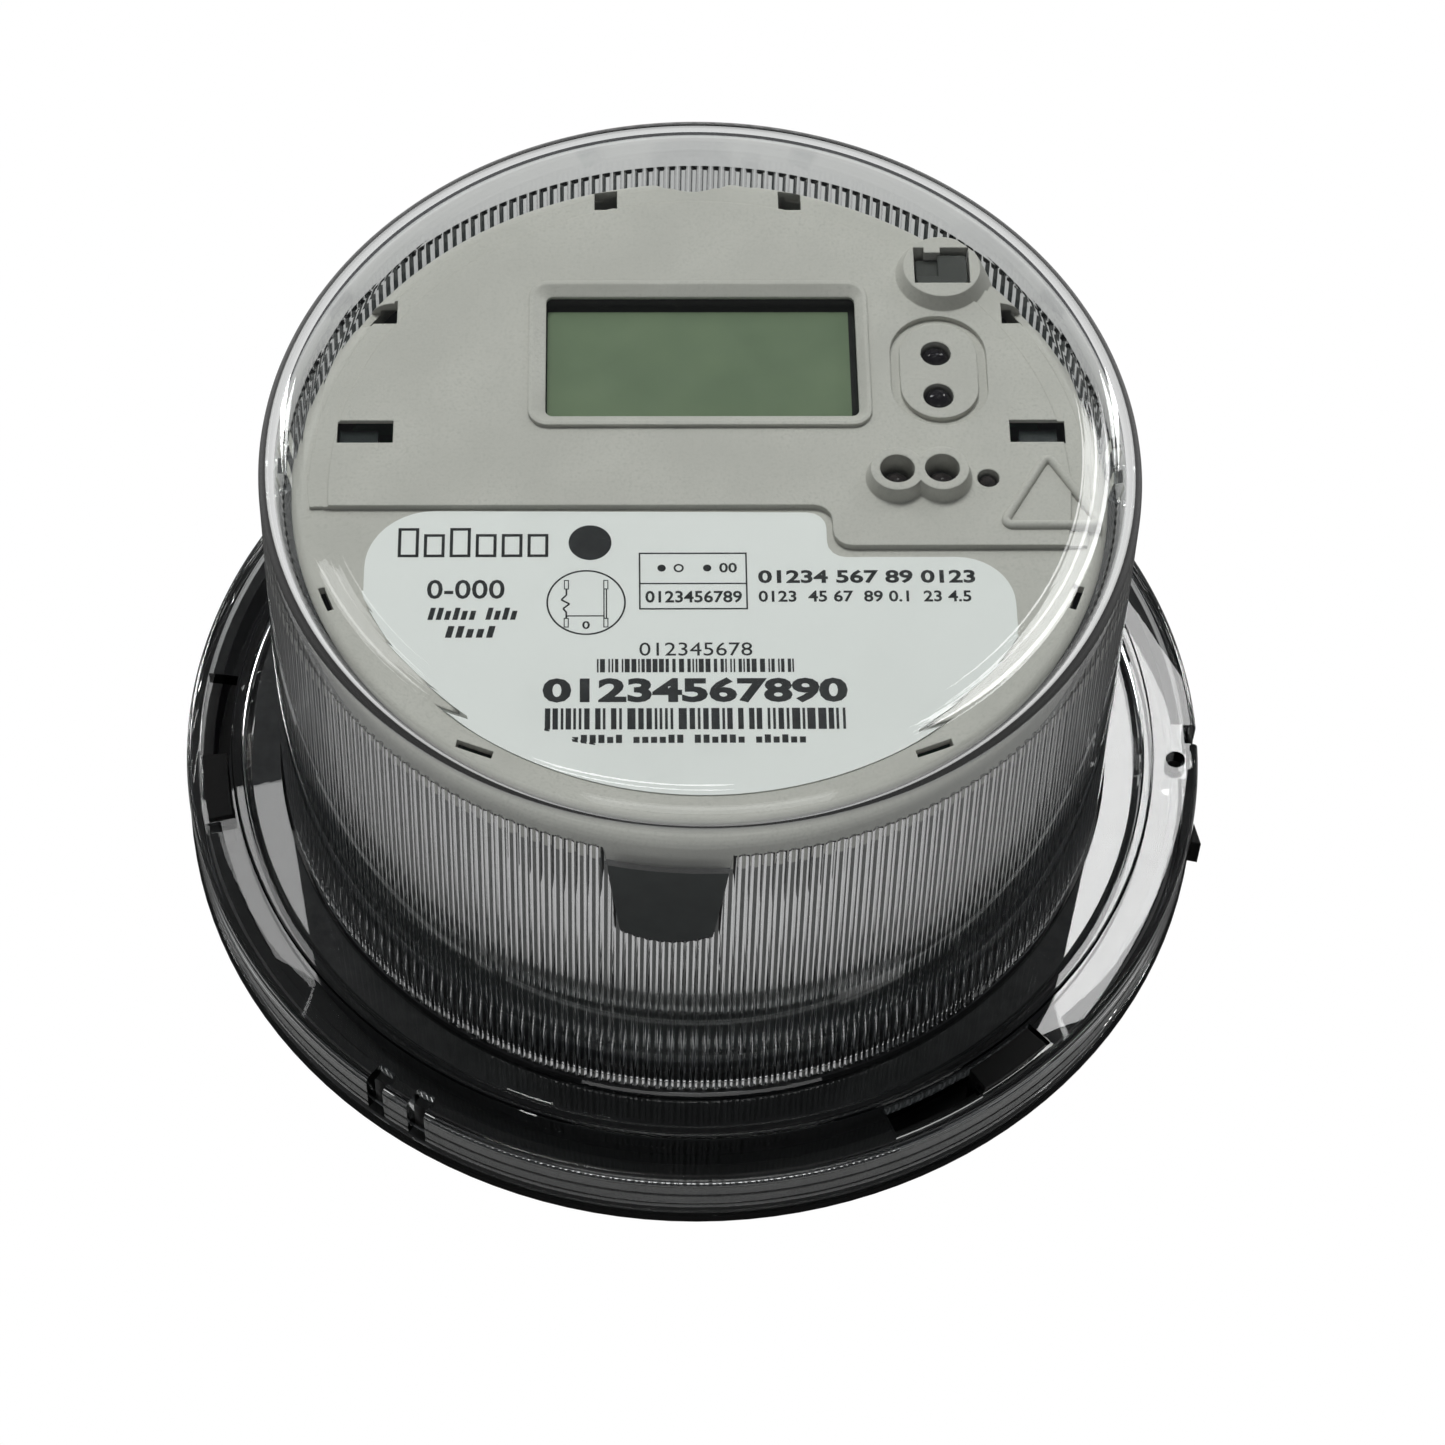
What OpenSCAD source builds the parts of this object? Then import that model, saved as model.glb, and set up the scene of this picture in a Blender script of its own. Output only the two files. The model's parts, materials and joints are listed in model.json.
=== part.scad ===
// Socket-mounted electric meter: a round plug-in base with four blades, an electronics module
// behind a moulded face, and a clear ribbed-style cover that twists off the base.
// The origin is the centre of the base's rear seat. +Z points out of the face and +Y towards
// the display side. All lengths are in millimetres.

/* [Cover] */
// Outer radius of the cover's wall just below its rounded top edge
cover_r = 70.1; // [70:0.1:70.6]
// Height of the cover's flat top above the rear seat
cover_top = 96.9; // [96:0.1:99]
// Thickness of the cover's wall and top
cover_wall = 2.4; // [2.2:0.1:2.5]
// Radius of the cover's rounded top edge
cover_round = 6; // [4:0.5:7]
// Outer radius of the flange that the twist lock works in
flange_r = 88.2; // [87.8:0.1:88.3]
// Height of the flange's top face above the rear seat
flange_top = 14; // [14:0.1:14.4]

/* [Twist lock] */
// Angle of the middle of the first slot; the others follow at equal steps
lock_angle = 182.5; // [178:0.5:186]
// Number of slots round the flange
lock_count = 3; // [2:1:3]
// Width of each slot, as an angle
slot_sweep = 21; // [21:0.1:22]
// Width of each hook's head, as an angle
hook_sweep = 8.9; // [7:0.1:9]

/* [Base] */
// Radius of the base's rim
base_r = 88.5; // [88.4:0.1:89]
// Thickness of the base's floor
floor_t = 4; // [3.6:0.1:4.2]
// Depth of the four feet behind the rear seat
foot_depth = 27; // [26:0.5:30]

/* [Blades] */
// Thickness of a terminal blade
blade_t = 2.4; // [2.3:0.05:2.5]
// Width of a terminal blade
blade_w = 19; // [18:0.25:19.5]
// Length of blade that stands out behind the rear seat
blade_out = 24; // [20:0.5:25]
// Sideways distance of each blade from the centre
blade_x = 34.9; // [34.5:0.1:35]
// Distance of each blade from the centre along the face's height
blade_y = 38; // [37:0.1:38.4]

/* [Face] */
// Height of the face's main surface above the rear seat
face_z = 84; // [83.5:0.1:84.5]
// Outer radius of the face's skirt
face_r = 66; // [65.8:0.1:66.2]
// Width of the display window
window_w = 51; // [48:0.5:52]
// Height of the display window
window_h = 25; // [23:0.2:25.2]
// Drop from the main surface to the surface that carries the nameplate
label_drop = 1; // [0.8:0.1:1.2]

/* [Module] */
// Outer radius of the dark housing that carries the boards
housing_r = 64.5; // [64:0.1:64.6]
// Thickness of a circuit board
board_t = 1.6; // [1.2:0.1:1.8]

/* [Hidden] */
$fn = 96;
eps = 0.05;
lock_step = 360 / lock_count;
lock_angles = [for (i = [0 : lock_count - 1]) lock_angle + i * lock_step];
slot_in = 80.8;
slot_out = 85.8;
slot_ease = 0.15;
post_out = 83.2;
plate_under = flange_top - 3;
shelf_top = flange_top - 1.6;
head_under = flange_top - 1.3;
skirt_t = 2;
skirt_bottom = 2.6;
rim_top = 2.2;
cover_base_r = cover_r + 1.5;
cover_foot_r = cover_base_r + 1;
inner_round = cover_round - cover_wall;

hub_r = 68.2;
hub_top = 13.5;
gasket_seat = 9;
gasket_in = 72;
gasket_out = 77.5;
foot_in = 64.5;
foot_out = 71;
foot_sweep = 14;
foot_angles = [45, 135, 225, 315];
seal_angle = -4.6;
seal_r = 84.2;
notch_bottom = 4.5;
clip_angles = [-127.3, -121.9];
seal_hole_r = 1.7;

blade_places = [[-1, 1], [1, 1], [-1, -1], [1, -1]];
link_z = 22;
link_t = 2.4;
link_w = 12;
blade_clear = 0.1;
boss_top = 12;
boss_size = [7, blade_w + 3];
collar_depth = 3;
pin_z = 15;
pin_r = 0.9;

sensor_r = 15;
sensor_hole_r = 9;
sensor_len = 14;
sensor_z = link_z + link_t / 2;

deck_z = 46;
deck_t = 2;
deck_top = deck_z + deck_t;
housing_t = 2.2;
housing_top = 77.9;
screw_x = 20;
screw_y = 52;
comms_z = deck_top + 3;
comms_top = comms_z + board_t;
comms_x = 36;
comms_y = 30;
main_z = 70;
main_top = main_z + board_t;
main_r = 60.5;
main_post = 56;
switch_top = main_top + 3.6;

plate_z = face_z - 2.8;
label_z = face_z - label_drop;
skirt_z = 77;
edge_round = 3.2;
window_c = [0.6, 26.35];
window_lip = face_z - 0.4;
bezel_c = [0.2, 26.4];
bezel_size = [window_w + 4.8, window_h + 5.2];
bezel_rim = 0.7;
bezel_rise = 0.7;
pocket_top = face_z - 0.9;
port_c = [39.4, 23];
port_half = 3.5;
port_r = 6.35;
port_groove_r = 7.9;
port_holes = [[39.05, 26.5], [39.1, 17.7]];
port_hole_r = 2.5;
pulse_holes = [[31.55, 0.9], [38.75, 1]];
pulse_hole_r = 2.8;
pulse_boss_r = 5;
pulse_top_r = 4.3;
pulse_rise = 2.6;
status_hole = [46.3, 0.9];
status_hole_r = 1.8;
reset_c = [40.7, 43.1];
reset_boss_r = 7.6;
reset_rise = 2.4;
reset_hole = [9.2, 7.6];
reset_hole_c = reset_c + [0, 0.3];
reset_tab = [2.7, 1.1];
reset_cap = [8.4, 5.9];
reset_cap_c = reset_hole_c - [0, 0.5];
reset_lip = 1;
reset_travel = 1.2;
switch_c = [38, 41];
snap_x = 54.35;
snap_y = 10.45;
snap_shift = 0.45;
top_snap = [15.5, 60.35];
triangle_c = [56, -3.9];
triangle_d = 7.4;
nameplate_t = 0.3;
nameplate_r = 57.6;

glass_top = plate_z - 0.1;
glass_t = 2.2;
glass_w = window_w + 5;
glass_h = window_h + 6;

black = [0.13, 0.14, 0.14];
light_grey = [0.71, 0.71, 0.68];
clear = [0.86, 0.89, 0.9, 0.35];
board_green = [0.05, 0.28, 0.15];
tinned = [0.76, 0.76, 0.74];

// ---- helpers ----

// Points along an arc of radius r about c, from angle a0 to a1, in n steps.
function arc(c, r, a0, a1, n = 8) =
    [for (i = [0 : n]) let (a = a0 + (a1 - a0) * i / n) c + r * [cos(a), sin(a)]];

// The unit vector at angle a.
function at(a) = [cos(a), sin(a)];

// A ring between two radii and two heights.
module ring(r_in, r_out, z0, z1) {
    translate([0, 0, z0]) difference() {
        cylinder(r = r_out, h = z1 - z0);
        translate([0, 0, -1]) cylinder(r = r_in, h = z1 - z0 + 2);
    }
}

// A section, given as [radius, height] points, turned between two angles.
module arc_shape(a0, a1, section) {
    rotate([0, 0, a0]) rotate_extrude(angle = a1 - a0) polygon(section);
}

// A piece of ring between two angles.
module arc_block(r_in, r_out, z0, z1, a0, a1) {
    arc_shape(a0, a1, [[r_in, z0], [r_out, z0], [r_out, z1], [r_in, z1]]);
}

// A block centred on a point of the face.
module block(c, size, z0, z1) {
    translate([c[0] - size[0] / 2, c[1] - size[1] / 2, z0]) cube([size[0], size[1], z1 - z0]);
}

// A rod along Z at a point of the face.
module rod(c, r, z0, z1) {
    translate([c[0], c[1], z0]) cylinder(r = r, h = z1 - z0);
}

// A block with round corners.
module round_block(c, size, r, z0, z1) {
    block(c, [size[0] - 2 * r, size[1]], z0, z1);
    block(c, [size[0], size[1] - 2 * r], z0, z1);
    for (sx = [-1, 1], sy = [-1, 1])
        rod(c + [sx * (size[0] / 2 - r), sy * (size[1] / 2 - r)], r, z0, z1);
}

// An upright slot shape with round ends, half is the distance from its middle to each arc.
module stadium(c, r, half, z0, z1) {
    rod(c + [0, half], r, z0, z1);
    rod(c - [0, half], r, z0, z1);
    block(c, [2 * r, 2 * half], z0, z1);
}

// Copies its children to both sides of the face.
module both_sides() {
    children();
    mirror([1, 0, 0]) children();
}

// ---- cover ----

// The cup and the flange are one moulding, held as two solids that meet on a cylinder.
module cover_cup() {
    corner = [cover_r - cover_round, cover_top - cover_round];
    rotate_extrude($fn = 180) polygon(concat(
        [[cover_foot_r, plate_under], [cover_foot_r, flange_top - 0.4],
         [cover_base_r, flange_top + 1.6]],
        arc(corner, cover_round, 0, 90),
        [[0, cover_top], [0, cover_top - cover_wall]],
        arc(corner, inner_round, 90, 0),
        [[cover_base_r - cover_wall, flange_top], [cover_base_r - cover_wall, plate_under]]));
}

module flange_ring() {
    rotate_extrude($fn = 180) polygon([[flange_r - skirt_t, plate_under],
        [flange_r - skirt_t, skirt_bottom], [flange_r, skirt_bottom],
        [flange_r, flange_top - 1.2], [flange_r - 1, flange_top], [80.4, flange_top],
        [80.1, flange_top + 0.7], [78.5, flange_top + 0.7], [78.1, flange_top - 0.3],
        [77, flange_top - 1.1], [74, flange_top - 1.1], [cover_foot_r, flange_top - 0.4],
        [cover_foot_r, plate_under]]);
}

// Each slot is open over half its length. The other half keeps a shelf for the hook's head,
// beside a gap for the hook's post.
module lock_slot(a) {
    half = slot_sweep / 2;
    arc_block(slot_in - slot_ease, slot_out + slot_ease, plate_under - 1, flange_top + 1,
        a - half, a + 0.5);
    arc_shape(a, a + half, [[slot_in, plate_under - 1], [post_out + 0.4, plate_under - 1],
        [post_out + 0.4, shelf_top], [slot_out, shelf_top], [slot_out, flange_top + 1],
        [slot_in, flange_top + 1]]);
}

module clear_cover() {
    color(clear) cover_cup();
}

module cover_flange() {
    color(clear) difference() {
        flange_ring();
        for (a = lock_angles) lock_slot(a);
        for (a = clip_angles)
            arc_block(84.5, flange_r + 1, notch_bottom, flange_top + 1, a - 1.1, a + 1.1);
        arc_block(85.8, flange_r + 1, notch_bottom, flange_top + 1, -2.3, 0.3);
        rod(seal_r * at(seal_angle), seal_hole_r, plate_under - 1, flange_top + 1);
    }
}

module cover_gasket() {
    color([0.3, 0.3, 0.31]) ring(gasket_in, gasket_out, gasket_seat, plate_under - 0.3);
}

// ---- base ----

module base_disc() {
    rotate_extrude($fn = 180) polygon([[0, 0], [79, 0], [79.4, 1], [80.6, 1], [81, 0],
        [base_r - 0.4, 0], [base_r, 0.4], [base_r, rim_top], [85.6, rim_top], [85.6, 10.4],
        [83.8, 10.4], [83.8, floor_t], [78.6, floor_t], [78.6, gasket_seat],
        [71, gasket_seat], [71, floor_t], [hub_r, floor_t], [hub_r, hub_top],
        [hub_r - 2, hub_top], [hub_r - 2, floor_t], [0, floor_t]]);
}

// The hook sits at the locked end of its slot: a post with a head that reaches out over the
// cover's shelf.
module lock_hook(a) {
    end = a + slot_sweep / 2 - 0.6;
    inner = slot_in + 0.4;
    outer = slot_out - 0.4;
    arc_shape(end - hook_sweep, end, [[inner, floor_t - 1], [post_out, floor_t - 1],
        [post_out, head_under], [outer, head_under], [outer, flange_top],
        [inner, flange_top]]);
}

// A small wedge on the rim that marks the locked position, clear of the cover's skirt.
module index_tab() {
    tip = (base_r + 1.8) * at(-12.4);
    translate([0, 0, 0.4]) {
        linear_extrude(rim_top - 0.4)
            polygon([(base_r - 1) * at(-9.6), tip, (base_r - 1) * at(-12.4)]);
        linear_extrude(6)
            polygon([(base_r + 0.1) * at(-9.8), tip, (base_r + 0.1) * at(-12.4)]);
    }
}

module base() {
    color(black) difference() {
        union() {
            base_disc();
            for (a = lock_angles) lock_hook(a);
            for (a = foot_angles)
                arc_block(foot_in, foot_out, -foot_depth, floor_t - 1,
                    a - foot_sweep / 2, a + foot_sweep / 2);
            for (p = blade_places)
                round_block([p[0] * blade_x, p[1] * blade_y], boss_size, 1.5,
                    -collar_depth, boss_top);
            for (sx = [-1, 1], sy = [-1, 1])
                rod([sx * screw_x, sy * screw_y], 4, floor_t - 1, deck_z);
            index_tab();
        }
        for (p = blade_places)
            block([p[0] * blade_x, p[1] * blade_y],
                [blade_t + 2 * blade_clear, blade_w + 2 * blade_clear],
                -collar_depth - 1, boss_top + 1);
        for (sx = [-1, 1], sy = [-1, 1])
            rod([sx * screw_x, sy * screw_y], 1.55, 30, deck_z + 1);
        rod(seal_r * at(seal_angle), seal_hole_r + 0.3, -1, 11);
    }
}

// ---- current path ----

// A blade with a chamfered nose, its retaining-pin hole above the base's boss.
module terminal_blade(p) {
    nose = 4;
    color(tinned) difference() {
        translate([p[0] * blade_x - blade_t / 2, p[1] * blade_y, 0])
            rotate([90, 0, 90]) linear_extrude(blade_t) polygon([
                [-blade_w / 2, link_z], [blade_w / 2, link_z], [blade_w / 2, nose - blade_out],
                [blade_w / 2 - nose, -blade_out], [nose - blade_w / 2, -blade_out],
                [-blade_w / 2, nose - blade_out]]);
        translate([p[0] * blade_x, p[1] * blade_y, pin_z]) rotate([0, 90, 0])
            cylinder(r = pin_r + 0.1, h = 20, center = true);
    }
}

module line_blade_left() { terminal_blade([-1, 1]); }
module line_blade_right() { terminal_blade([1, 1]); }
module load_blade_left() { terminal_blade([-1, -1]); }
module load_blade_right() { terminal_blade([1, -1]); }

module blade_pins() {
    color("silver") for (p = blade_places)
        translate([p[0] * blade_x, p[1] * blade_y, pin_z]) rotate([0, 90, 0])
            cylinder(r = pin_r, h = 9, center = true);
}

module current_link(side) {
    length = 2 * blade_y + blade_w;
    color([0.72, 0.45, 0.28]) round_block([side * blade_x, 0], [link_w, length], 3,
        link_z, link_z + link_t);
}

module current_link_left() { current_link(-1); }
module current_link_right() { current_link(1); }

// A potted ring coil round the link, with a small terminal block on top.
module current_sensor(side) {
    color([0.16, 0.24, 0.42]) difference() {
        union() {
            translate([side * blade_x, 0, sensor_z]) rotate([90, 0, 0])
                cylinder(r = sensor_r, h = sensor_len, center = true);
            block([side * blade_x, 0], [10, 8], sensor_z + sensor_r - 2, sensor_z + sensor_r + 3);
        }
        translate([side * blade_x, 0, sensor_z]) rotate([90, 0, 0])
            cylinder(r = sensor_hole_r, h = sensor_len + 2, center = true);
    }
}

module current_sensor_left() { current_sensor(-1); }
module current_sensor_right() { current_sensor(1); }

module sensor_cradle() {
    color([0.85, 0.84, 0.8]) difference() {
        block([0, 0], [2 * blade_x + 26, sensor_len + 3], floor_t, 13);
        for (sx = [-1, 1]) translate([sx * blade_x, 0, sensor_z]) rotate([90, 0, 0])
            cylinder(r = sensor_r + 0.1, h = sensor_len + 8, center = true);
    }
}

// Two lead-outs from each sensor's block, up through the deck to the main board.
module sensor_leads() {
    color("white") for (sx = [-1, 1], dx = [-2.5, 2.5])
        rod([sx * blade_x + dx, 0], 0.6, sensor_z + sensor_r + 3, main_z);
}

// Sprung contact posts that bring each link's voltage to the main board.
module voltage_contacts() {
    color("gold") for (sx = [-1, 1]) {
        rod([sx * blade_x, 22], 2.2, link_z + link_t, link_z + link_t + 4);
        rod([sx * blade_x, 22], 1.1, link_z + link_t + 4, main_z);
    }
}

// ---- housing and boards ----

module housing() {
    color([0.16, 0.18, 0.18]) difference() {
        union() {
            ring(housing_r - housing_t, housing_r, floor_t, housing_top);
            rod([0, 0], housing_r - 1, deck_z, deck_top);
            for (a = [0 : 90 : 270]) rod(main_post * at(a), 3, deck_top - 1, main_z);
            for (sx = [-1, 1], sy = [-1, 1])
                rod([sx * comms_x, sy * comms_y], 2.5, deck_top - 1, comms_z);
            both_sides() block([snap_x + 0.7, snap_y], [6.2, 3.9], main_top + 2, face_z - 2.2);
            both_sides() block([(snap_x + housing_r - 1) / 2, snap_y],
                [housing_r - 1 - snap_x, 2], main_top + 2, main_top + 3.5);
        }
        for (a = [0 : 90 : 270]) rod(main_post * at(a), 1.25, main_z - 10, main_z + 1);
        for (sx = [-1, 1], sy = [-1, 1]) {
            rod([sx * comms_x, sy * comms_y], 1.25, deck_z - 1, comms_z + 1);
            rod([sx * screw_x, sy * screw_y], 1.7, deck_z - 1, deck_top + 1);
        }
        for (sx = [-1, 1]) {
            rod([sx * blade_x, 22], 3, deck_z - 1, deck_top + 1);
            round_block([sx * blade_x, 0], [9, 4], 1.5, deck_z - 1, deck_top + 1);
        }
    }
}

// A pan-head screw whose head stands on z, with its shank below.
module screw(c, z, head_r, shank_r, length) {
    difference() {
        union() {
            rod(c, head_r, z, z + 0.7 * head_r);
            rod(c, shank_r, z - length, z + eps);
        }
        block(c, [1.4 * head_r, 0.4 * head_r], z + 0.4 * head_r, z + head_r);
        block(c, [0.4 * head_r, 1.4 * head_r], z + 0.4 * head_r, z + head_r);
    }
}

module housing_screws() {
    color("silver") for (sx = [-1, 1], sy = [-1, 1])
        screw([sx * screw_x, sy * screw_y], deck_top, 3, 1.5, 16);
}

module board_screws() {
    color("silver") {
        for (a = [0 : 90 : 270]) screw(main_post * at(a), main_top, 2.6, 1.2, 9);
        for (sx = [-1, 1], sy = [-1, 1])
            screw([sx * comms_x, sy * comms_y], comms_top, 2.4, 1.2, 5);
    }
}

module comms_board() {
    color(board_green) difference() {
        round_block([0, 0], [80, 68], 3, comms_z, comms_top);
        for (sx = [-1, 1], sy = [-1, 1])
            rod([sx * comms_x, sy * comms_y], 1.4, comms_z - 1, comms_top + 1);
        for (sx = [-1, 1]) {
            rod([sx * blade_x, 22], 2.5, comms_z - 1, comms_top + 1);
            round_block([sx * blade_x, 0], [9, 4], 1.5, comms_z - 1, comms_top + 1);
        }
    }
}

module radio_shield() {
    color("silver") difference() {
        block([-12, -4], [30, 36], comms_top, comms_top + 4.5);
        block([-12, -4], [29, 35], comms_top - 1, comms_top + 4);
        for (ix = [-1 : 1], iy = [-1 : 1])
            rod([-12 + 8 * ix, -4 + 9 * iy], 0.9, comms_top + 3, comms_top + 6);
    }
}

// A bent strip antenna that stands on the communications board.
module antenna() {
    color([0.8, 0.78, 0.7]) {
        block([-10, 28], [2, 0.5], comms_top, comms_top + 12);
        block([5, 28], [2, 0.5], comms_top, comms_top + 12);
        block([-4, 26], [24, 4.5], comms_top + 12, comms_top + 12.5);
    }
}

module board_header() {
    color([0.12, 0.12, 0.12]) block([24, -2], [5, 34], comms_top, main_z);
}

module main_board() {
    color(board_green) difference() {
        rod([0, 0], main_r, main_z, main_top);
        for (a = [0 : 90 : 270]) rod(main_post * at(a), 1.4, main_z - 1, main_top + 1);
    }
}

module supply_capacitors() {
    color([0.15, 0.2, 0.35])
        for (p = [[-30, 38], [-18, 44]]) rod(p, 5, main_z - 12, main_z);
}

module filter_capacitor() {
    color([0.75, 0.55, 0.15]) round_block([8, 42], [24, 9], 1, main_z - 12, main_z);
}

module surge_varistor() {
    color([0.1, 0.3, 0.55]) translate([-8, -46, main_z - 8]) rotate([90, 0, 0])
        cylinder(r = 7, h = 4.5, center = true);
    color("silver") for (sx = [-1, 1]) rod([-8 + 2.5 * sx, -46], 0.4, main_z - 2, main_z);
}

module processor_chips() {
    color([0.14, 0.14, 0.15]) {
        round_block([-14, -10], [14, 14], 0.6, main_top, main_top + 1.4);
        round_block([6, -18], [10, 6], 0.5, main_top, main_top + 1.8);
        round_block([14, -4], [7, 7], 0.5, main_top, main_top + 1.2);
        round_block([-36, -24], [9, 6], 0.5, main_top, main_top + 1.8);
    }
}

// ---- display ----

module lcd_holder() {
    color(black) difference() {
        block(window_c, [glass_w + 3, glass_h + 3], main_top, glass_top - 0.6);
        block(window_c, [glass_w + 0.4, glass_h + 0.4], glass_top - glass_t - 0.05, glass_top + 1);
        block(window_c, [glass_w - 1, glass_h - 1], main_top - 1, glass_top);
    }
}

module lcd_reflector() {
    color([0.9, 0.9, 0.88]) block(window_c, [glass_w - 2, glass_h - 8],
        main_top + 1, glass_top - glass_t - 0.1);
}

module lcd_contacts() {
    color([0.35, 0.3, 0.4]) for (sy = [-1, 1])
        block(window_c + [0, sy * (glass_h / 2 - 2)], [glass_w - 4, 1.8],
            main_top, glass_top - glass_t);
}

module lcd_glass() {
    color([0.42, 0.47, 0.38]) block(window_c, [glass_w, glass_h],
        glass_top - glass_t, glass_top);
}

// ---- indicators and reset ----

// A domed light emitter: a rim, a body and a half-round tip.
module led(c, r, top) {
    rod(c, r + 0.3, main_top, main_top + 1);
    rod(c, r, main_top, top - r);
    translate([c[0], c[1], top - r]) sphere(r = r);
}

module optical_detector() { color([0.08, 0.05, 0.08]) led(port_holes[0], 2.3, face_z); }
module optical_emitter() { color([0.3, 0.25, 0.3]) led(port_holes[1], 2.3, face_z + 0.3); }
module status_led() { color([0.6, 0.1, 0.08]) led(status_hole, 1.5, face_z - 0.4); }

module pulse_leds() {
    color([0.5, 0.3, 0.3]) for (p = pulse_holes) led(p, 2.5, face_z - 0.1);
}

module reset_switch() {
    color([0.12, 0.12, 0.12]) round_block(switch_c, [6, 6], 0.5, main_top, switch_top);
}

// The plunger's cap fills the boss's hole, with a finger step at its left. Its lip, on the two
// sides away from the face's skirt, stops under the face. Its stem stands just over the switch.
module reset_plunger() {
    color([0.2, 0.21, 0.21]) {
        difference() {
            round_block(reset_cap_c, reset_cap, 0.6, plate_z - 0.5, face_z + reset_rise - 0.5);
            block(reset_cap_c + [-2.4, 0.8], [3.6, 4.5], face_z + 0.6, face_z + reset_rise);
        }
        round_block(reset_cap_c - [reset_lip / 2, reset_lip / 2],
            reset_cap + [reset_lip, reset_lip], 1, plate_z - 1.8, plate_z - 0.3);
        rod(switch_c, 1.8, switch_top + reset_travel + 0.3, plate_z - 1.5);
    }
}

// ---- face ----

// The raised part of the face, above a step that drops down towards the nameplate's corner.
function raised_outline() = concat(
    [[-70, 70], [-70, -4.4], [18, -4.4]],
    arc([18, -7.4], 3, 90, 0, 4),
    arc([24, -9.4], 3, 180, 270, 4),
    [[70, -12.4], [70, 70]]);

module face_body() {
    rotate_extrude($fn = 180) polygon(concat(
        [[0, plate_z], [housing_r + 0.2, plate_z], [housing_r + 0.2, skirt_z],
         [face_r, skirt_z]],
        arc([face_r - edge_round, label_z - edge_round], edge_round, 0, 90, 8),
        [[0, label_z]]));
    intersection() {
        linear_extrude(face_z) polygon(raised_outline());
        union() {
            rod([0, 0], 59.5, label_z - 1, face_z);
            rod([0, 0], face_r - edge_round, label_z - 1, face_z - 0.4);
        }
    }
}

// A triangle with round corners. A larger corner radius gives the same shape, further out.
function triangle_outline(r) = concat(
    arc(triangle_c + triangle_d * at(90), r, 30, 150, 6),
    arc(triangle_c + triangle_d * at(210), r, 150, 270, 6),
    arc(triangle_c + triangle_d * at(330), r, 270, 390, 6));

module face_bosses() {
    round_block(bezel_c, bezel_size, 3.2, plate_z + 0.5, face_z + bezel_rise);
    intersection() {
        translate([reset_c[0], reset_c[1], face_z - 2.5])
            cylinder(r1 = reset_boss_r + 1.25, r2 = reset_boss_r - 1.2, h = reset_rise + 2.5);
        rod([0, 0], face_r - 0.6, face_z - 2.5, face_z + reset_rise);
    }
    for (p = pulse_holes) translate([p[0], p[1], face_z])
        cylinder(r1 = pulse_boss_r, r2 = pulse_top_r, h = pulse_rise);
    for (p = pulse_holes) rod(p, pulse_boss_r, face_z - 1, face_z);
    translate([0, 0, face_z - 2.2]) difference() {
        linear_extrude(2.65) polygon(triangle_outline(1.5));
        translate([0, 0, -1]) linear_extrude(4.65) polygon(triangle_outline(0.4));
    }
}

// The reset hole, with a small key tab left standing in from its upper edge.
module reset_opening(z0, z1) {
    difference() {
        block(reset_hole_c, reset_hole, z0, z1);
        block(reset_hole_c + [-1.5, reset_hole[1] / 2], [reset_tab[0], 2 * reset_tab[1]],
            z0 - 1, z1 + 1);
    }
}

// The round-ended groove that seats an optical probe's magnet ring.
module port_groove() {
    difference() {
        stadium(port_c, port_groove_r, port_half, face_z - 0.9, face_z + 1);
        stadium(port_c, port_r, port_half, face_z - 2, face_z + 2);
    }
}

// The window, its sloping surround that falls from the frame's rim, and the pocket behind it.
module window_cut() {
    rim = bezel_size - 2 * [bezel_rim, bezel_rim];
    round_block(window_c, [window_w, window_h], 1.2, plate_z - 1, face_z);
    block(window_c, [window_w + 3, window_h + 3], plate_z - 1, pocket_top);
    hull() {
        round_block(window_c, [window_w, window_h], 1.2, window_lip, window_lip + eps, $fn = 32);
        round_block(bezel_c, rim, 2.5, face_z + bezel_rise, face_z + bezel_rise + 1, $fn = 32);
    }
}

module face_cuts() {
    low = plate_z - 1;
    high = face_z + 6;
    window_cut();
    port_groove();
    for (p = port_holes) rod(p, port_hole_r, low, high);
    for (p = pulse_holes) rod(p, pulse_hole_r, low, high);
    rod(status_hole, status_hole_r, low, high);
    reset_opening(low, high);
    for (sx = [-1, 1]) {
        block([sx * snap_x + snap_shift, snap_y], [9, 4.5], low, high);
        block([sx * snap_x + snap_shift, snap_y + 1.4], [9.6, 7.3], low, face_z - 0.8);
        block([sx * top_snap[0] + snap_shift, top_snap[1]], [3.8, 5], low, high);
        block([sx * 53.9 + snap_shift, 35.6], [8, 4.8], low, high);
    }
    both_sides() {
        translate([35.2, -49.9, 0]) rotate([0, 0, 17]) block([0, 0], [6, 1.8], low, high);
        arc_block(62.1, 63.5, low, high, -22.4, -18.2);
    }
    rod([-0.4, 70.6], 8.7, skirt_z - 1, high);
    rod([9.2, 66.4], 2.6, skirt_z - 1, high);
}

module faceplate() {
    color(light_grey) difference() {
        union() {
            face_body();
            face_bosses();
        }
        face_cuts();
    }
}

// The printed sheet: its round lower edge follows the face, its upper edge follows the step.
module nameplate() {
    color([0.87, 0.88, 0.88]) intersection() {
        rod([0, 0], nameplate_r, label_z, label_z + nameplate_t);
        linear_extrude(face_z) polygon(concat(
            [[-53.2, -60]],
            arc([-42.2, -16], 11, 180, 90, 10),
            arc([17, -8.4], 3, 90, 0, 4),
            arc([23, -11.2], 3, 180, 270, 4),
            arc([40.4, -23.2], 9, 90, 0, 10),
            [[49.4, -60]]));
    }
}

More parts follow.
